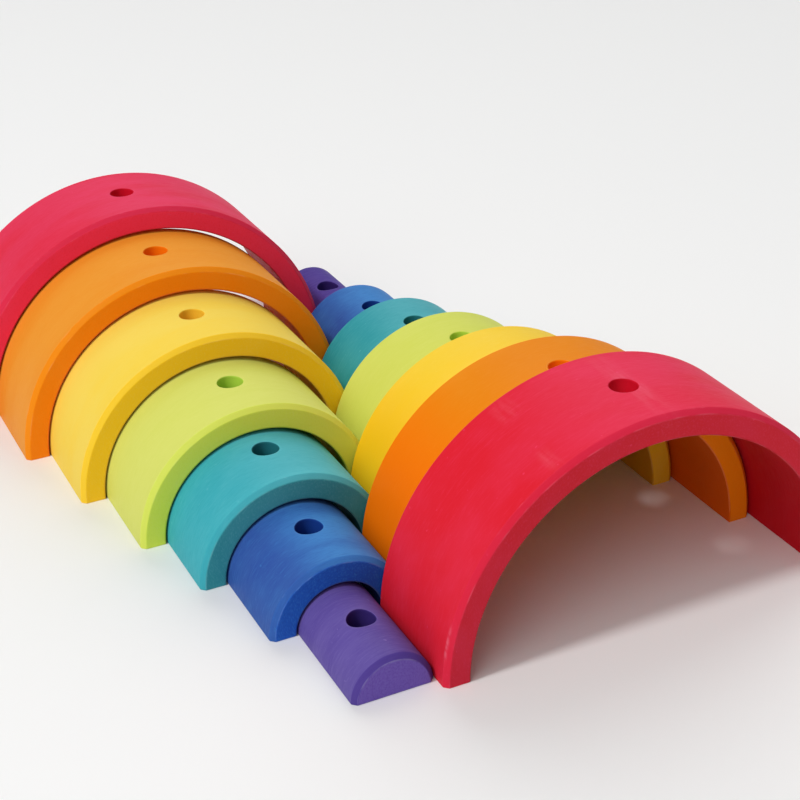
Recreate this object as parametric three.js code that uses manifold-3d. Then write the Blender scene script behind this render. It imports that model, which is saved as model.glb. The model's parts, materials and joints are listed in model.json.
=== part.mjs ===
// Rainbow arch stacking set: two rows of seven stained wooden half rounds, each with a bore through its crown.
// Millimetres, +Z up, rows along Y, feet on z = 0, origin under the middle of the whole set.
import * as THREE from 'three';
import { mergeVertices } from 'three/addons/utils/BufferGeometryUtils.js';
import Module from 'manifold-3d';

// Driving dimensions of the pieces
const coreRadius = 15.7;
const archWall = 10;
const nestClearance = 1.55;
const pieceWidth = 52;
const rimChamfer = 1.8;
const innerEdgeBreak = 0.5;
const boreDiameter = 10.5;

// How the pieces stand: how far each piece of the right row is drawn out of the next larger one,
// largest first, how far each leans outwards inside that one, and how close the two rows stand
const rightDrawOut = [42.5, 38, 44.5, 46, 46.5, 55.5];
const outwardLean = 0.8;
const neighbourGap = 0.8;
const rowGap = 0.5;
const leftCoreSetback = 6.2;

// Facets of a full turned ring and of a bore, and how far a cutter runs past what it cuts
const ringFacets = 48;
const boreFacets = 20;
const cutterMargin = 5;

// Largest to smallest; the last is the solid core that the smallest arch straddles
const stains = [
  { name: 'red', colour: '#d8283c' },
  { name: 'orange', colour: '#e8821c' },
  { name: 'yellow', colour: '#f2c02e' },
  { name: 'lime', colour: '#c9d255' },
  { name: 'teal', colour: '#3fa3ad' },
  { name: 'blue', colour: '#3560ad' },
  { name: 'purple', colour: '#5a449a' },
];
const coreIndex = stains.length - 1;
const sizeStep = archWall + nestClearance;
const outerRadius = (index) => coreRadius + (coreIndex - index) * sizeStep;
const innerRadius = (index) => outerRadius(index) - archWall;

const wasm = await Module();
wasm.setup();

function toSolid(geometry) {
  geometry.deleteAttribute('normal');
  geometry.deleteAttribute('uv');
  const merged = mergeVertices(geometry);
  const vertProperties = new Float32Array(merged.attributes.position.array);
  const triVerts = new Uint32Array(merged.index.array);
  return new wasm.Manifold(new wasm.Mesh({ numProp: 3, vertProperties, triVerts }));
}

function toGeometry(solid) {
  const mesh = solid.getMesh();
  const geometry = new THREE.BufferGeometry();
  geometry.setAttribute('position', new THREE.BufferAttribute(mesh.vertProperties, 3));
  geometry.setIndex(new THREE.BufferAttribute(mesh.triVerts, 1));
  geometry.computeVertexNormals();
  return geometry;
}

// Section of a turned ring, radius against width: chamfered outer rims, lightly broken inner edges
function archSection(outer, inner) {
  const half = pieceWidth / 2;
  return [
    [inner + innerEdgeBreak, -half],
    [outer - rimChamfer, -half],
    [outer, -half + rimChamfer],
    [outer, half - rimChamfer],
    [outer - rimChamfer, half],
    [inner + innerEdgeBreak, half],
    [inner, half - innerEdgeBreak],
    [inner, -half + innerEdgeBreak],
    [inner + innerEdgeBreak, -half],
  ];
}

// Section of the solid core, from the axis out and back
function coreSection(outer) {
  const half = pieceWidth / 2;
  return [
    [0, -half],
    [outer - rimChamfer, -half],
    [outer, -half + rimChamfer],
    [outer, half - rimChamfer],
    [outer - rimChamfer, half],
    [0, half],
  ];
}

// A turned ring or rod sawn in half along its axis, then bored through the crown
function halfRound(index) {
  const outer = outerRadius(index);
  const section = index === coreIndex ? coreSection(outer) : archSection(outer, innerRadius(index));
  const profile = section.map(([radius, along]) => new THREE.Vector2(radius, along));
  const turned = toSolid(new THREE.LatheGeometry(profile, ringFacets));

  const sawSide = 2 * (outer + cutterMargin);
  const saw = new THREE.BoxGeometry(sawSide, pieceWidth + 2 * cutterMargin, sawSide);
  saw.translate(0, 0, -sawSide / 2);

  const boreLength = outer + 2 * cutterMargin;
  const bore = new THREE.CylinderGeometry(boreDiameter / 2, boreDiameter / 2, boreLength, boreFacets);
  bore.rotateX(Math.PI / 2);
  bore.translate(0, 0, boreLength / 2 - cutterMargin);

  return toGeometry(turned.subtract(toSolid(saw)).subtract(toSolid(bore)));
}

// Where each piece's near face stands along its row. A left piece stands just behind the right piece
// that is one size step too wide to pass it.
const rightFront = [0];
for (const drawOut of rightDrawOut) {
  rightFront.push(rightFront.at(-1) + drawOut);
}
const leftFront = stains.map((stain, index) => (
  index === coreIndex ? leftCoreSetback : rightFront[coreIndex - 1 - index] + pieceWidth + neighbourGap
));

// From the axis of one red arch to that of the other
const rowSpacing = outerRadius(0) + outerRadius(coreIndex) + rowGap - coreIndex * outwardLean;
const setLength = Math.max(...rightFront, ...leftFront) + pieceWidth;

function addRow(set, side, outward, fronts) {
  stains.forEach((stain, index) => {
    const rowX = outward * (rowSpacing / 2 + index * outwardLean);
    const kind = index === coreIndex ? 'block' : 'arch';
    const material = new THREE.MeshStandardMaterial({ color: stain.colour, roughness: 0.6, metalness: 0 });
    const piece = new THREE.Mesh(halfRound(index), material);
    piece.name = `${side}_${stain.name}_${kind}`;
    piece.position.set(rowX, fronts[index] + pieceWidth / 2 - setLength / 2, 0);
    set.add(piece);
  });
}

const archSet = new THREE.Group();
addRow(archSet, 'left', -1, leftFront);
addRow(archSet, 'right', 1, rightFront);

export default archSet;
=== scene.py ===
import json
import math
import bpy
import bmesh
from mathutils import Matrix, Vector


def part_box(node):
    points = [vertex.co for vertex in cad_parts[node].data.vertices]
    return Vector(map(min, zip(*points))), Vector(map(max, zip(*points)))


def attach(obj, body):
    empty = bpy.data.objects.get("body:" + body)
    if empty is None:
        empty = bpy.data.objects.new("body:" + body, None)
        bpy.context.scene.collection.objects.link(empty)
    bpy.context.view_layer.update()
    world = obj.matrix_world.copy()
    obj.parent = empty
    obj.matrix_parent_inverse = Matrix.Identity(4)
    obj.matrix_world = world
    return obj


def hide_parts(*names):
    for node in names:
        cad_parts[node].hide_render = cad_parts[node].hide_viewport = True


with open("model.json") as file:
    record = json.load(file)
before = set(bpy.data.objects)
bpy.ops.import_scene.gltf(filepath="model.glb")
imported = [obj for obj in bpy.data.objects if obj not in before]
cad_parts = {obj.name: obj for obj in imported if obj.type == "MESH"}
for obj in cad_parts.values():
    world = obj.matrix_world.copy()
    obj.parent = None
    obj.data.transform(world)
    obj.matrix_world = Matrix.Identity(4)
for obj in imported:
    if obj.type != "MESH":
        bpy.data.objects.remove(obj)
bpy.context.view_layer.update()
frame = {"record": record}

# Rainbow arch stacking set: two rows of turned and sawn half rounds, stained and bored through the crown.
# Metres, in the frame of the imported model.

mm = 0.001

archForm = {
    "wall": 10.0 * mm,
    "nearChamfer": 1.8 * mm,
    "farChamfer": 0.6 * mm,     # the smaller break of the rim that lies inside the next arch
    "rimSoften": 0.5 * mm,      # rounding of the chamfer's two edges
    "innerRound": 0.4 * mm,
    "footRound": 0.35 * mm,
    "faceSupport": 0.45 * mm,   # keeps the flat faces flat beside their rounded edges
    "footLand": 2.5,            # foot roundings between the sawn foot and the first row above it
    "baseShare": 0.97,          # how much of a block's underside is flat mesh
    "boreRadius": 5.25 * mm,
    "boreRound": 0.4 * mm,
    "boreCollar": 2.6 * mm,     # least land of finer mesh round a bore
    "boreCells": 12,
    "rowStep": 2.2 * mm,
    "leastRows": 10,
    "leastStep": 0.02 * mm,     # sections closer than this become one
    "weld": 0.0005 * mm,
}


def roundBack(inFrom, radius):
    # how far a rounded edge stands back, at a distance in from the face
    if inFrom >= radius:
        return 0.0
    return radius - math.sqrt(radius ** 2 - (radius - inFrom) ** 2)


def chamferBack(inFrom, chamfer, soften):
    # the same for the chamfered rim, whose two edges are softened
    tangent = soften * math.tan(math.pi / 8)
    low = soften * (1 - math.cos(math.pi / 4))
    if inFrom < low:
        return chamfer + tangent - math.sqrt(soften ** 2 - (soften - inFrom) ** 2)
    if inFrom < chamfer - low:
        return chamfer - inFrom
    if inFrom < chamfer + tangent:
        return soften - math.sqrt(soften ** 2 - (chamfer + tangent - inFrom) ** 2)
    return 0.0


def edgeSteps(form, chamfer):
    # distances in from a face at which the edges need a section
    soften = form["rimSoften"]
    flatStart = chamfer + soften * math.tan(math.pi / 8)
    steps = [flatStart + form["faceSupport"], chamfer / 2]
    for degrees in (0, 15, 30, 45):
        turn = math.radians(degrees)
        steps.append(soften * (1 - math.cos(turn)))
        steps.append(flatStart - soften * math.sin(turn))
    for degrees in (30, 50, 70, 90):
        steps.append(form["innerRound"] * (1 - math.cos(math.radians(degrees))))
    kept = []
    for step in sorted(steps):
        if not kept or step - kept[-1] > form["leastStep"]:
            kept.append(step)
    return kept


def turnedHalf(name, outer, width, isBlock, form):
    half = width / 2
    inner = 0.0 if isBlock else outer - form["wall"]
    cells = form["boreCells"]
    reach = form["boreRadius"] + form["boreRound"] + form["boreCollar"]
    collarTurn = math.asin(reach / (outer if isBlock else inner))

    # sections from the near face to the far face
    nearSteps = edgeSteps(form, form["nearChamfer"])
    farSteps = edgeSteps(form, form["farChamfer"])
    collarStops = [reach * (2 * k / cells - 1) for k in range(cells + 1)]
    stops = [s - half for s in nearSteps] + collarStops + [half - s for s in reversed(farSteps)]
    firstStop = len(nearSteps)

    # rows from the right foot over the crown to the left foot
    footTurns = [math.radians(d) for d in (0, 30, 60, 90)]
    startTurn = form["footLand"] * form["footRound"] / (outer if isBlock else inner)
    endTurn = math.pi / 2 - collarTurn
    sideRows = max(form["leastRows"], round(endTurn * outer / form["rowStep"]))
    sideTurns = [startTurn + (endTurn - startTurn) * k / sideRows for k in range(sideRows)]
    paintedSheenTurns = [math.pi / 2 + collarTurn * (2 * k / cells - 1) for k in range(cells + 1)]
    turns = sideTurns + paintedSheenTurns + [math.pi - t for t in reversed(sideTurns)]
    rows = [("foot", 1, t) for t in footTurns]
    rows += [("turn", 1, t) for t in turns]
    rows += [("foot", -1, t) for t in reversed(footTurns)]
    firstRow = len(footTurns) + sideRows

    def sectionPoint(row, stop, inside, lift=0.0):
        # inside picks the inner wall, or the flat underside of a block; lift moves a point on to the face
        kind, side, turn = row
        inFrom = half - abs(stop)
        sawn = roundBack(inFrom, form["footRound"])
        chamfer = form["nearChamfer"] if stop < 0 else form["farChamfer"]
        outerHere = outer - chamferBack(inFrom, chamfer, form["rimSoften"])
        radius = inner + roundBack(inFrom, form["innerRound"]) + lift if inside else outerHere - lift
        back = form["footRound"] * (1 - math.sin(turn))
        up = sawn + form["footRound"] * (1 - math.cos(turn))
        if isBlock and inside:
            across = form["baseShare"] * (outerHere - form["footRound"])
            spread = math.cos(turn) if kind == "turn" else side * math.cos(startTurn * turn / math.pi)
            return across * spread, sawn + lift
        if kind == "foot":
            return side * (math.sqrt(radius ** 2 - up ** 2) + (back if inside else -back)), up
        return radius * math.cos(turn), radius * math.sin(turn)

    bm = bmesh.new()

    def grid(inside):
        return [[bm.verts.new((p[0], stop, p[1])) for stop in stops
                 for p in [sectionPoint(row, stop, inside)]] for row in rows]

    def skin(net):
        # the wall's quads, leaving out the collar round the bore
        for i in range(len(rows) - 1):
            for j in range(len(stops) - 1):
                inRows = firstRow <= i < firstRow + cells
                inStops = firstStop <= j < firstStop + cells
                if not (inRows and inStops):
                    bm.faces.new((net[i][j], net[i][j + 1], net[i + 1][j + 1], net[i + 1][j]))

    def joinRings(near, far):
        count = len(near)
        for k in range(count):
            bm.faces.new((near[k], near[(k + 1) % count], far[(k + 1) % count], far[k]))

    def collar(net, inside):
        # rings from the square opening in the wall to the round bore and over its rim
        lastRow, lastStop = firstRow + cells, firstStop + cells
        ring = [net[firstRow][firstStop + k] for k in range(cells)]
        ring += [net[firstRow + k][lastStop] for k in range(cells)]
        ring += [net[lastRow][lastStop - k] for k in range(cells)]
        ring += [net[lastRow - k][firstStop] for k in range(cells)]
        start = [v.co.copy() for v in ring]
        rimRadius = form["boreRadius"] + form["boreRound"]
        count = len(ring)

        def height(x):
            if isBlock and inside:
                return 0.0
            return math.sqrt((inner if inside else outer) ** 2 - x ** 2)

        def ringAt(place):
            made = []
            for k in range(count):
                x, y, sink = place(k, math.pi * (2 * k / count - 0.25))
                made.append(bm.verts.new((x, y, height(x) + (sink if inside else -sink))))
            return made

        for share in (0.3, 0.6, 0.85, 1.0):
            def onWall(k, turn, share=share):
                x = start[k].x + (rimRadius * math.cos(turn) - start[k].x) * share
                y = start[k].y + (rimRadius * math.sin(turn) - start[k].y) * share
                return x, y, 0.0
            following = ringAt(onWall)
            joinRings(ring, following)
            ring = following
        for degrees in (30, 60, 90):
            tilt = math.radians(degrees)

            def onRim(k, turn, tilt=tilt):
                radius = form["boreRadius"] + form["boreRound"] * (1 - math.sin(tilt))
                sink = form["boreRound"] * (1 - math.cos(tilt))
                return radius * math.cos(turn), radius * math.sin(turn), sink
            following = ringAt(onRim)
            joinRings(ring, following)
            ring = following
        return ring

    def boreWall(top, bottom):
        # a support ring beside each rim keeps the bore's wall straight
        ring = top
        for share in (0.06, 0.94):
            following = [bm.verts.new(a.co.lerp(b.co, share)) for a, b in zip(top, bottom)]
            joinRings(ring, following)
            ring = following
        joinRings(ring, bottom)

    def endFace(outerNet, innerNet, column):
        stop = stops[column]
        lines = [[outerNet[i][column] for i in range(len(rows))]]
        for inside in (False, True):
            points = [sectionPoint(row, stop, inside, form["faceSupport"]) for row in rows]
            lines.append([bm.verts.new((x, stop, z)) for x, z in points])
        lines.append([innerNet[i][column] for i in range(len(rows))])
        for near, far in zip(lines, lines[1:]):
            for i in range(len(rows) - 1):
                bm.faces.new((near[i], near[i + 1], far[i + 1], far[i]))
        return lines[1:3]

    outerNet = grid(False)
    innerNet = grid(True)
    skin(outerNet)
    skin(innerNet)
    boreWall(collar(outerNet, False), collar(innerNet, True))
    nearLines = endFace(outerNet, innerNet, 0)
    farLines = endFace(outerNet, innerNet, len(stops) - 1)
    for row in (0, len(rows) - 1):
        for j in range(len(stops) - 1):
            bm.faces.new((outerNet[row][j], outerNet[row][j + 1], innerNet[row][j + 1], innerNet[row][j]))
        for column, lines in ((0, nearLines), (len(stops) - 1, farLines)):
            bm.faces.new((outerNet[row][column], lines[0][row], lines[1][row], innerNet[row][column]))
    bmesh.ops.remove_doubles(bm, verts=bm.verts, dist=form["weld"])
    bmesh.ops.recalc_face_normals(bm, faces=bm.faces)
    mesh = bpy.data.meshes.new(name)
    bm.to_mesh(mesh)
    bm.free()
    mesh.polygons.foreach_set("use_smooth", [True] * len(mesh.polygons))
    return mesh


def addNode(tree, kind, **settings):
    node = tree.nodes.new(kind)
    for key, value in settings.items():
        setattr(node, key, value)
    return node


def feed(tree, socket, value):
    # a socket takes a link or a plain value
    if isinstance(value, bpy.types.NodeSocket):
        tree.links.new(value, socket)
    else:
        socket.default_value = value


def calc(tree, operation, *values):
    node = addNode(tree, "ShaderNodeMath", operation=operation)
    for socket, value in zip(node.inputs, values):
        feed(tree, socket, value)
    return node.outputs[0]


def product(tree, first, *others):
    for other in others:
        first = calc(tree, "MULTIPLY", first, other)
    return first


def ramp(tree, value, low, high, toLow=0.0, toHigh=1.0):
    node = addNode(tree, "ShaderNodeMapRange", interpolation_type="SMOOTHSTEP")
    for socket, entry in zip(node.inputs, (value, low, high, toLow, toHigh)):
        feed(tree, socket, entry)
    return node.outputs[0]


def blendColour(tree, share, first, second):
    node = addNode(tree, "ShaderNodeMix", data_type="RGBA")
    feed(tree, node.inputs[0], share)
    feed(tree, node.inputs[6], first)
    feed(tree, node.inputs[7], second)
    return node.outputs[2]


def noiseAt(tree, place, waves, detail=2.0, rough=0.5):
    # noise with its own number of waves per metre along the arc, across the width and through the wall
    scaled = addNode(tree, "ShaderNodeVectorMath", operation="MULTIPLY")
    feed(tree, scaled.inputs[0], place)
    feed(tree, scaled.inputs[1], waves)
    node = addNode(tree, "ShaderNodeTexNoise")
    feed(tree, node.inputs["Vector"], scaled.outputs[0])
    feed(tree, node.inputs["Scale"], 1.0)
    feed(tree, node.inputs["Detail"], detail)
    feed(tree, node.inputs["Roughness"], rough)
    return node.outputs["Fac"]


def newGroup(name, inputs, outputs):
    tree = bpy.data.node_groups.new(name, "ShaderNodeTree")
    for label, kind in inputs:
        tree.interface.new_socket(name=label, in_out="INPUT", socket_type=kind)
    for label, kind in outputs:
        tree.interface.new_socket(name=label, in_out="OUTPUT", socket_type=kind)
    return tree, addNode(tree, "NodeGroupInput").outputs, addNode(tree, "NodeGroupOutput").inputs


number, colour, vector = "NodeSocketFloat", "NodeSocketColor", "NodeSocketVector"

placeForm = {
    "leastRadius": 6 * mm,      # nearer the axis the arc no longer shrinks
    "arcShift": 1.37,           # how far each piece's seed moves its grain
    "alongShift": 0.61,
}


def turnedPlaceGroup():
    # a point's place on the turned wood: round the arc from the crown, along the axis and out from it
    tree, given, out = newGroup(
        "turnedPlace", [("Seed", number)],
        [("Place", vector), ("Turn", number), ("Arc", number), ("Along", number), ("Up", number),
         ("Radius", number), ("From Bore", number)])
    coords = addNode(tree, "ShaderNodeTexCoord")
    split = addNode(tree, "ShaderNodeSeparateXYZ")
    feed(tree, split.inputs[0], coords.outputs["Object"])
    x, y, z = split.outputs
    radius = calc(tree, "SQRT", calc(tree, "ADD", product(tree, x, x), product(tree, z, z)))
    turn = calc(tree, "ARCTAN2", x, z)
    arc = product(tree, turn, calc(tree, "MAXIMUM", radius, placeForm["leastRadius"]))
    place = addNode(tree, "ShaderNodeCombineXYZ")
    feed(tree, place.inputs[0], calc(tree, "MULTIPLY_ADD", given["Seed"], placeForm["arcShift"], arc))
    feed(tree, place.inputs[1], calc(tree, "MULTIPLY_ADD", given["Seed"], placeForm["alongShift"], y))
    feed(tree, place.inputs[2], radius)
    feed(tree, out["Place"], place.outputs[0])
    feed(tree, out["Turn"], turn)
    feed(tree, out["Arc"], arc)
    feed(tree, out["Along"], y)
    feed(tree, out["Up"], z)
    feed(tree, out["Radius"], radius)
    feed(tree, out["From Bore"],
         calc(tree, "SQRT", calc(tree, "ADD", product(tree, x, x), product(tree, y, y))))
    return tree


# each rubbed line, a worn edge that is also a painted edge highlight, fades between two distances, and
# shows where the patchy noise is between two levels
rimWearAndHighlight = {
    "patchWaves": (120, 400, 400),
    "outer": {"line": (0.5 * mm, 0.1 * mm), "patch": (0.56, 0.72)},
    "face": {"line": (0.45 * mm, 0.1 * mm), "patch": (0.45, 0.7)},
    "inner": {"line": (0.7 * mm, 0.2 * mm), "patch": (0.3, 0.5)},
    "foot": {"line": (0.5 * mm, 0.2 * mm), "patch": (0.25, 0.5)},
    "bore": {"line": (0.35 * mm, 0.1 * mm), "patch": (0.4, 0.65)},
    "boreLineOut": 0.5 * mm,
    "boreShare": 0.4,
    "chamferEdge": (-0.35 * mm, -0.1 * mm),
    "faceEdge": (0.3 * mm, 0.1 * mm),
    "innerEdge": (0.7 * mm, 0.3 * mm),
    "boreEdge": (0.25 * mm, 0.05 * mm),
}


def rimWearAndHighlightGroup():
    # masks of the edges and faces: thin rubbed lines that are also painted edge highlights, the chamfer,
    # the end faces, the inner wall, the bore
    tree, given, out = newGroup(
        "rimWearAndHighlight",
        [("Place", vector), ("Radius", number), ("Along", number), ("Up", number), ("From Bore", number),
         ("Outer", number), ("Inner", number), ("Half Width", number), ("Near Chamfer", number),
         ("Far Chamfer", number), ("Bore", number)],
        [("Rubbed Highlight", number), ("Chamfer Face", number), ("End Face", number), ("Inner Wall", number),
         ("Bore Wall", number)])

    across = calc(tree, "ABSOLUTE", given["Along"])
    chamfer = ramp(tree, given["Along"], -mm, mm, given["Near Chamfer"], given["Far Chamfer"])

    def lineFrom(radius, stop, measured=given["Radius"]):
        dx = calc(tree, "SUBTRACT", measured, radius)
        dy = calc(tree, "SUBTRACT", across, stop)
        return calc(tree, "SQRT", calc(tree, "ADD", product(tree, dx, dx), product(tree, dy, dy)))

    rimStop = calc(tree, "SUBTRACT", given["Half Width"], chamfer)
    faceRim = calc(tree, "SUBTRACT", given["Outer"], chamfer)
    patchy = noiseAt(tree, given["Place"], rimWearAndHighlight["patchWaves"], 3.0, 0.6)

    def rubHighlightOn(edge, distance):
        return product(tree, ramp(tree, distance, *rimWearAndHighlight[edge]["line"]),
                       ramp(tree, patchy, *rimWearAndHighlight[edge]["patch"]))

    boreLine = calc(tree, "ADD", given["Bore"], rimWearAndHighlight["boreLineOut"])
    fromBoreLine = calc(tree, "ABSOLUTE", calc(tree, "SUBTRACT", given["From Bore"], boreLine))
    rubbedHighlight = rubHighlightOn("outer", lineFrom(given["Outer"], rimStop))
    for rub in (rubHighlightOn("face", lineFrom(faceRim, given["Half Width"])),
                rubHighlightOn("inner", lineFrom(given["Inner"], given["Half Width"])),
                rubHighlightOn("foot", lineFrom(0.0, given["Half Width"], given["Up"])),
                product(tree, rubHighlightOn("bore", fromBoreLine), rimWearAndHighlight["boreShare"])):
        rubbedHighlight = calc(tree, "MAXIMUM", rubbedHighlight, rub)
    feed(tree, out["Rubbed Highlight"], rubbedHighlight)

    past = calc(tree, "SUBTRACT", calc(tree, "ADD", given["Radius"], across),
                calc(tree, "ADD", given["Outer"], rimStop))
    feed(tree, out["Chamfer Face"], ramp(tree, past, *rimWearAndHighlight["chamferEdge"]))
    inFromFace = calc(tree, "SUBTRACT", given["Half Width"], across)
    feed(tree, out["End Face"], ramp(tree, inFromFace, *rimWearAndHighlight["faceEdge"]))
    aboveInner = calc(tree, "SUBTRACT", given["Radius"], given["Inner"])
    feed(tree, out["Inner Wall"], ramp(tree, aboveInner, *rimWearAndHighlight["innerEdge"]))
    pastBore = calc(tree, "SUBTRACT", given["From Bore"], given["Bore"])
    feed(tree, out["Bore Wall"], ramp(tree, pastBore, *rimWearAndHighlight["boreEdge"]))
    return tree


# waves per metre along the arc, across the width and through the wall
grainWaves = {
    "bands": (14, 70, 70),
    "streaks": (230, 1500, 1500),
    "hairs": (45, 2300, 900),
    "blotches": (26, 34, 34),
    "speckle": (1300, 1300, 1300),
    "specks": (400, 480, 480),
}
grainShares = {
    "faceStreaks": 0.2,         # what is left of the streaks on the end faces
    "paleStreaks": 0.7,
    "hairs": 0.3,
    "faceHeight": 0.6,
    "paintedSheenTurns": (-0.7, 0.15),  # radians from the crown between which the paler top comes in, a painted sheen and painted light
}


def stainedGrainAndSheenGroup():
    # stain that took up unevenly: broad bands, fine sanding streaks round the arc, blotches, hairs
    # and specks, with a fine speckle in place of the streaks on the sawn end faces
    # the paler crown and its right side, laid on by the Crown share, are painted sheen and painted light
    tree, given, out = newGroup(
        "stainedGrainAndSheen",
        [("Place", vector), ("Turn", number), ("End Face", number), ("Stain", colour), ("Face", colour),
         ("Deep", colour), ("Pale", colour), ("Crown", number), ("Bands", number), ("Streaks", number),
         ("Blotches", number), ("Specks", number)],
        [("Color", colour), ("Roughness", number), ("Height", number)])
    place = given["Place"]
    bands = noiseAt(tree, place, grainWaves["bands"], 2.0)
    streaks = noiseAt(tree, place, grainWaves["streaks"], 3.0, 0.6)
    hairs = noiseAt(tree, place, grainWaves["hairs"], 1.0)
    blotches = noiseAt(tree, place, grainWaves["blotches"], 3.0)
    speckle = noiseAt(tree, place, grainWaves["speckle"], 2.0)
    specks = noiseAt(tree, place, grainWaves["specks"], 1.0)
    onRound = ramp(tree, given["End Face"], 0.0, 1.0, 1.0, grainShares["faceStreaks"])

    def lay(under, shade, *shares):
        return blendColour(tree, product(tree, *shares), under, given[shade])

    # painted sheen and light: the crown and its right side go towards Pale
    paintedCrownSheen = ramp(tree, given["Turn"], *grainShares["paintedSheenTurns"])
    toned = lay(given["Stain"], "Pale", paintedCrownSheen, given["Crown"])
    toned = lay(toned, "Face", given["End Face"])
    toned = lay(toned, "Deep", ramp(tree, bands, 0.42, 0.66), given["Bands"], onRound)
    streakShare = product(tree, given["Streaks"], onRound)
    speckleShare = product(tree, given["Streaks"], given["End Face"])
    toned = lay(toned, "Deep", ramp(tree, streaks, 0.5, 0.72), streakShare)
    toned = lay(toned, "Pale", ramp(tree, streaks, 0.5, 0.28), streakShare, grainShares["paleStreaks"])
    toned = lay(toned, "Pale", ramp(tree, speckle, 0.5, 0.7), speckleShare)
    toned = lay(toned, "Deep", ramp(tree, speckle, 0.5, 0.3), speckleShare)
    toned = lay(toned, "Pale", ramp(tree, blotches, 0.45, 0.72), given["Blotches"])
    hairShare = product(tree, ramp(tree, hairs, 0.66, 0.76), onRound, grainShares["hairs"])
    speckShare = ramp(tree, specks, 0.755, 0.79)
    toned = lay(toned, "Pale", calc(tree, "MAXIMUM", hairShare, speckShare), given["Specks"])
    feed(tree, out["Color"], toned)
    feed(tree, out["Roughness"], calc(tree, "ADD", ramp(tree, streaks, 0.3, 0.7, 0.48, 0.58),
                                      ramp(tree, blotches, 0.35, 0.7, -0.03, 0.05)))
    feed(tree, out["Height"], calc(tree, "ADD", product(tree, streaks, onRound),
                                   product(tree, speckle, given["End Face"], grainShares["faceHeight"])))
    return tree


effects = {"place": turnedPlaceGroup(), "rimMasks": rimWearAndHighlightGroup(), "grain": stainedGrainAndSheenGroup()}
print("effects: turned place, rim wear, stained grain")


def screenColour(red, green, blue):
    # a colour as it shows on a screen, 0 to 255
    def linear(value):
        value = value / 255
        return value / 12.92 if value <= 0.04045 else ((value + 0.055) / 1.055) ** 2.4
    return (linear(red), linear(green), linear(blue), 1.0)


# colours as they show on a screen: the round wood and its deeper and paler uptake, the sawn end face,
# the chamfered rim, the inner wall in painted shade and the bore in painted light and shade; then how much
# of each effect a stain has.
# rightFace and the flank colour belong to the right row alone, and so does rightDeep; the flank colour is
# painted bounce light.
# each stain's crown share is a painted sheen and painted light on the top of the piece
stains = {
    "red": {
        "stain": (222, 52, 82), "deep": (221, 26, 40), "pale": (238, 74, 118),
        # the red face and rightFace are a lit and a shaded copy of one end face, painted light and painted
        # shade
        "face": (250, 56, 88), "rightFace": (214, 36, 52), "rim": (224, 40, 70),
        "inner": (186, 4, 10), "bore": (215, 20, 45),
        "rightDeep": 0.8, "chamfer": 0.6, "rub": 0.16, "crown": 0.35,
        "bands": 0.3, "streaks": 0.14, "blotches": 0.16, "specks": 0.35},
    "orange": {
        "stain": (235, 152, 50), "deep": (231, 130, 0), "pale": (242, 166, 64),
        "face": (255, 138, 14), "rightFace": (253, 140, 6), "rim": (250, 140, 8),
        "inner": (226, 90, 0), "bore": (255, 130, 10), "bounceFlank": (255, 114, 0),
        "rightDeep": 0.9, "chamfer": 0.8, "rub": 0.18, "crown": 0.1,
        "bands": 0.25, "streaks": 0.14, "blotches": 0.1, "specks": 0.15},
    "yellow": {
        "stain": (243, 212, 86), "deep": (245, 202, 36), "pale": (250, 224, 120),
        "face": (255, 202, 38), "rightFace": (254, 205, 30), "rim": (255, 206, 40),
        "inner": (220, 160, 10), "bore": (255, 205, 60), "bounceFlank": (255, 192, 8),
        "rightDeep": 0.7, "chamfer": 0.8, "rub": 0.18, "crown": 0.1,
        "bands": 0.25, "streaks": 0.14, "blotches": 0.14, "specks": 0.15},
    "lime": {
        "stain": (214, 219, 108), "deep": (202, 211, 78), "pale": (226, 230, 136),
        "face": (226, 240, 88), "rim": (222, 236, 90),
        "inner": (170, 190, 40), "bore": (190, 225, 80),
        "rightDeep": 0.35, "chamfer": 0.7, "rub": 0.18, "crown": 0.05,
        "bands": 0.25, "streaks": 0.14, "blotches": 0.14, "specks": 0.15},
    "teal": {
        "stain": (62, 171, 184), "deep": (40, 138, 150), "pale": (110, 194, 202),
        "face": (56, 150, 159), "rim": (62, 171, 184),
        "inner": (30, 110, 120), "bore": (40, 120, 130),
        "rightDeep": 0.7, "chamfer": 0.3, "rub": 0.22, "crown": 0.4,
        "bands": 0.15, "streaks": 0.18, "blotches": 0.16, "specks": 0.25},
    "blue": {
        "stain": (54, 89, 163), "deep": (42, 72, 154), "pale": (68, 140, 206),
        "face": (36, 93, 194), "rim": (54, 110, 196),
        "inner": (20, 50, 140), "bore": (28, 66, 150),
        "rightDeep": 0.3, "chamfer": 0.3, "rub": 0.25, "crown": 0.75,
        "bands": 0.4, "streaks": 0.28, "blotches": 0.2, "specks": 0.35},
    "purple": {
        "stain": (98, 82, 156), "deep": (76, 56, 142), "pale": (130, 116, 188),
        "face": (115, 90, 183), "rim": (76, 56, 142),
        "inner": (80, 60, 146), "bore": (60, 44, 118),
        "rightDeep": 0.8, "chamfer": 0.7, "rub": 0.4, "crown": 0.0,
        "bands": 0.3, "streaks": 0.24, "blotches": 0.2, "specks": 0.5},
}

# pale rub marks, by the arc from the crown and the place along the axis
rubMarks = {
    "right_red": [
        {"arc": 2.5 * mm, "along": 0.0, "arcReach": 6 * mm, "alongReach": 32 * mm, "strength": 0.22},
        {"arc": -39 * mm, "along": 18 * mm, "arcReach": 6 * mm, "alongReach": 10 * mm, "strength": 0.12},
        {"arc": -42 * mm, "along": -17 * mm, "arcReach": 4 * mm, "alongReach": 9 * mm, "strength": 0.14},
        {"arc": -116 * mm, "along": -24 * mm, "arcReach": 9 * mm, "alongReach": 0.9 * mm, "strength": 0.45},
    ],
}


markWaves = (330, 60, 330)
markCore = 0.2      # share of a mark's reach that is at full strength


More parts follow.
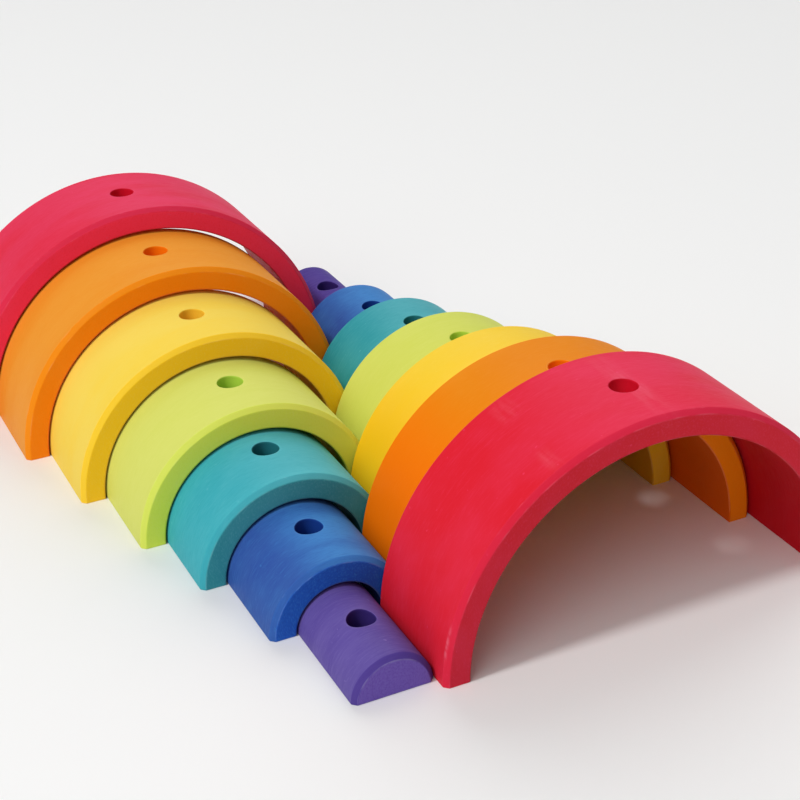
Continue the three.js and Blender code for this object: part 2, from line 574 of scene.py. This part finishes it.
def rubMark(tree, place, mark):
    shares = []
    for label, key in (("Arc", "arc"), ("Along", "along")):
        off = calc(tree, "ABSOLUTE", calc(tree, "SUBTRACT", place.outputs[label], mark[key]))
        shares.append(ramp(tree, off, mark[key + "Reach"], markCore * mark[key + "Reach"]))
    broken = noiseAt(tree, place.outputs["Place"], markWaves, 3.0, 0.55)
    return product(tree, shares[0], shares[1], ramp(tree, broken, 0.3, 0.75), mark["strength"])


def mixColour(first, second, share):
    return tuple(a + (b - a) * share for a, b in zip(first, second))


woodFinish = {
    "innerShadeShare": 0.85,             # how far the inner wall goes to its darker colour, painted shade inside the arch
    # the bore wall's colour is painted light and shade inside the bore
    "boreShare": 1.0,
    # share and turns of the painted bounce light on the right row's flank that faces the other row
    "bounceFlankShare": 0.75,
    "bounceFlankTurns": (-0.4, -1.1),     # radians from the crown
    "wornHighlightWhite": 0.2,               # white in the colour of rubbed wood and of the painted edge highlights
    "bumpStrength": 0.12,
    "bumpDistance": 0.1 * mm,
    "specular": 0.08,
}


def stainMaterial(name, stain, isRight, outer, width, isBlock, form, marks, seed):
    material = bpy.data.materials.new(name)
    material.use_nodes = True
    tree = material.node_tree
    tree.nodes.clear()

    place = addNode(tree, "ShaderNodeGroup", node_tree=effects["place"])
    place.inputs["Seed"].default_value = seed

    rimMasks = addNode(tree, "ShaderNodeGroup", node_tree=effects["rimMasks"])
    for label in ("Place", "Radius", "Along", "Up", "From Bore"):
        feed(tree, rimMasks.inputs[label], place.outputs[label])
    rimMasks.inputs["Outer"].default_value = outer
    rimMasks.inputs["Inner"].default_value = 0.0 if isBlock else outer - form["wall"]
    rimMasks.inputs["Half Width"].default_value = width / 2
    rimMasks.inputs["Near Chamfer"].default_value = form["nearChamfer"]
    rimMasks.inputs["Far Chamfer"].default_value = form["farChamfer"]
    rimMasks.inputs["Bore"].default_value = form["boreRadius"]

    grain = addNode(tree, "ShaderNodeGroup", node_tree=effects["grain"])
    feed(tree, grain.inputs["Place"], place.outputs["Place"])
    feed(tree, grain.inputs["Turn"], place.outputs["Turn"])
    feed(tree, grain.inputs["End Face"], rimMasks.outputs["End Face"])
    keys = ("deep", "pale", "rim", "inner", "bore")
    deep, pale, rim, inner, bore = (screenColour(*stain[key]) for key in keys)
    wornHighlight = mixColour(pale, (1, 1, 1, 1), woodFinish["wornHighlightWhite"])
    depth = stain["rightDeep"] if isRight else 0.0
    grain.inputs["Stain"].default_value = mixColour(screenColour(*stain["stain"]), deep, depth)
    # for red, the right row's end face is darkened as painted shade
    faceKey = "rightFace" if isRight and "rightFace" in stain else "face"
    grain.inputs["Face"].default_value = screenColour(*stain[faceKey])
    grain.inputs["Deep"].default_value = deep
    grain.inputs["Pale"].default_value = pale
    for label in ("Crown", "Bands", "Streaks", "Blotches", "Specks"):
        grain.inputs[label].default_value = stain[label.lower()]

    toned = grain.outputs["Color"]
    if isRight and "bounceFlank" in stain:
        # painted bounce light: the shaded flank that faces the other row is made brighter and more
        # saturated
        paintedBounceOnFlank = ramp(tree, place.outputs["Turn"], *woodFinish["bounceFlankTurns"])
        toned = blendColour(tree, product(tree, paintedBounceOnFlank, woodFinish["bounceFlankShare"]), toned,
                            screenColour(*stain["bounceFlank"]))
    for label, share, shade in (("Chamfer Face", stain["chamfer"], rim),
                                # painted shade: the inner wall goes to its darker inner colour
                                ("Inner Wall", woodFinish["innerShadeShare"], inner),
                                # painted bounce light and shade: the bore wall goes to its bore colour
                                ("Bore Wall", woodFinish["boreShare"], bore)):
        toned = blendColour(tree, product(tree, rimMasks.outputs[label], share), toned, shade)
    # rubbed edges, partly painted edge highlights, go towards the pale worn colour
    toned = blendColour(tree, product(tree, rimMasks.outputs["Rubbed Highlight"], stain["rub"]), toned, wornHighlight)
    onSurface = calc(tree, "SUBTRACT", 1.0, rimMasks.outputs["Bore Wall"])
    for mark in marks:
        toned = blendColour(tree, product(tree, rubMark(tree, place, mark), onSurface), toned, wornHighlight)
    bump = addNode(tree, "ShaderNodeBump")
    bump.inputs["Strength"].default_value = woodFinish["bumpStrength"]
    bump.inputs["Distance"].default_value = woodFinish["bumpDistance"]
    feed(tree, bump.inputs["Height"], grain.outputs["Height"])

    shader = addNode(tree, "ShaderNodeBsdfPrincipled")
    feed(tree, shader.inputs["Base Color"], toned)
    feed(tree, shader.inputs["Roughness"], grain.outputs["Roughness"])
    feed(tree, shader.inputs["Normal"], bump.outputs["Normal"])
    shader.inputs["Specular IOR Level"].default_value = woodFinish["specular"]
    output = addNode(tree, "ShaderNodeOutputMaterial")
    feed(tree, output.inputs["Surface"], shader.outputs["BSDF"])
    return material


def makePiece(node, body, stainName, seed):
    low, high = (Vector(corner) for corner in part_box(node))
    outer = (high.x - low.x) / 2
    width = high.y - low.y
    isBlock = node.endswith("block")
    name = node + "_wood"
    piece = bpy.data.objects.new(name, turnedHalf(name, outer, width, isBlock, archForm))
    bpy.context.scene.collection.objects.link(piece)
    piece.location = ((low.x + high.x) / 2, (low.y + high.y) / 2, 0)
    piece.data.materials.append(
        stainMaterial(name, stains[stainName], body.startswith("right"), outer, width, isBlock, archForm,
                      rubMarks.get(body, []), seed))
    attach(piece, body)
    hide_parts(node)


bodies = frame["record"]["behaviour"]["bodies"]
for seed, (body, nodes) in enumerate(bodies.items(), 1):
    makePiece(nodes[0], body, body.split("_")[1], seed)
print("pieces:", len(bodies))


studio = {
    "floorSize": 8.0,
    "floorColour": (0.90, 0.90, 0.895, 1.0),
    "floorRoughness": 0.75,
    "floorSpecular": 0.2,
    "worldColour": (1.0, 1.0, 1.0, 1.0),
    "worldStrength": 0.25,
    "keyAim": (0.048, -0.136, 0.085),
    "toKey": (-0.576, -0.033, 0.817),   # from the light spots under the bores
    "keyDistance": 3.0,
    "keySize": 0.38,
    "keyStrength": 1.25,                 # light that reaches the aim, per square metre
    "toBack": (0.5, 0.65, 0.57),
    "backStrength": 1.5,
    "backSpread": 60.0,                  # degrees
    "toFront": (-0.666, -0.383, 0.643),
    "frontStrength": 0.9,
    "frontSpread": 45.0,
}


def makeFloor():
    bm = bmesh.new()
    bmesh.ops.create_circle(bm, cap_ends=True, segments=96, radius=studio["floorSize"] / 2)
    mesh = bpy.data.meshes.new("floor")
    bm.to_mesh(mesh)
    bm.free()
    floor = bpy.data.objects.new("floor", mesh)
    bpy.context.scene.collection.objects.link(floor)
    material = bpy.data.materials.new("paleFloor")
    material.use_nodes = True
    shader = material.node_tree.nodes["Principled BSDF"]
    shader.inputs["Base Color"].default_value = studio["floorColour"]
    shader.inputs["Roughness"].default_value = studio["floorRoughness"]
    shader.inputs["Specular IOR Level"].default_value = studio["floorSpecular"]
    mesh.materials.append(material)


def placeLamp(name, lamp, toLamp, place):
    lampObject = bpy.data.objects.new(name, lamp)
    bpy.context.scene.collection.objects.link(lampObject)
    lampObject.rotation_euler = toLamp.to_track_quat("Z", "Y").to_euler()
    lampObject.location = place
    return lampObject


def makeLight():
    world = bpy.data.worlds.new("studio")
    bpy.context.scene.world = world
    world.use_nodes = True
    background = world.node_tree.nodes["Background"]
    background.inputs["Color"].default_value = studio["worldColour"]
    background.inputs["Strength"].default_value = studio["worldStrength"]

    toKey = Vector(studio["toKey"]).normalized()
    key = bpy.data.lights.new("softKey", "AREA")
    key.shape = "DISK"
    key.size = studio["keySize"]
    key.energy = studio["keyStrength"] * math.pi * studio["keyDistance"] ** 2
    placeLamp("softKey", key, toKey, Vector(studio["keyAim"]) + toKey * studio["keyDistance"])

    for side in ("back", "front"):
        toFill = Vector(studio["to" + side.title()]).normalized()
        fill = bpy.data.lights.new(side + "Fill", "SUN")
        fill.energy = studio[side + "Strength"]
        fill.angle = math.radians(studio[side + "Spread"])
        placeLamp(side + "Fill", fill, toFill, toFill).visible_glossy = False


photoCamera = {
    "place": (-0.24744, -0.57305, 0.35749),
    "yaw": 25.538,      # degrees to the right of +Y
    "pitch": -27.916,
    "roll": -1.377,
    "focalPixels": 1677.1,
    "imagePixels": 800,
}


def makeCamera():
    yaw, pitch, roll = (math.radians(photoCamera[key]) for key in ("yaw", "pitch", "roll"))
    ahead = Vector((math.sin(yaw) * math.cos(pitch), math.cos(yaw) * math.cos(pitch), math.sin(pitch)))
    level = Vector((math.cos(yaw), -math.sin(yaw), 0))
    upright = level.cross(ahead)
    right = math.cos(roll) * level + math.sin(roll) * upright
    up = -math.sin(roll) * level + math.cos(roll) * upright
    lens = bpy.data.cameras.new("photoCamera")
    lens.sensor_fit = "HORIZONTAL"
    lens.sensor_width = 36.0
    lens.lens = lens.sensor_width * photoCamera["focalPixels"] / photoCamera["imagePixels"]
    lens.clip_start = 0.01
    lens.clip_end = 50.0
    camera = bpy.data.objects.new("photoCamera", lens)
    bpy.context.scene.collection.objects.link(camera)
    turn = Matrix((right, up, -ahead)).transposed().to_4x4()
    camera.matrix_world = Matrix.Translation(photoCamera["place"]) @ turn
    bpy.context.scene.camera = camera


makeFloor()
makeLight()
makeCamera()
bpy.context.scene.view_settings.view_transform = "Standard"
print("studio: floor, light and camera")

bpy.context.view_layer.update()
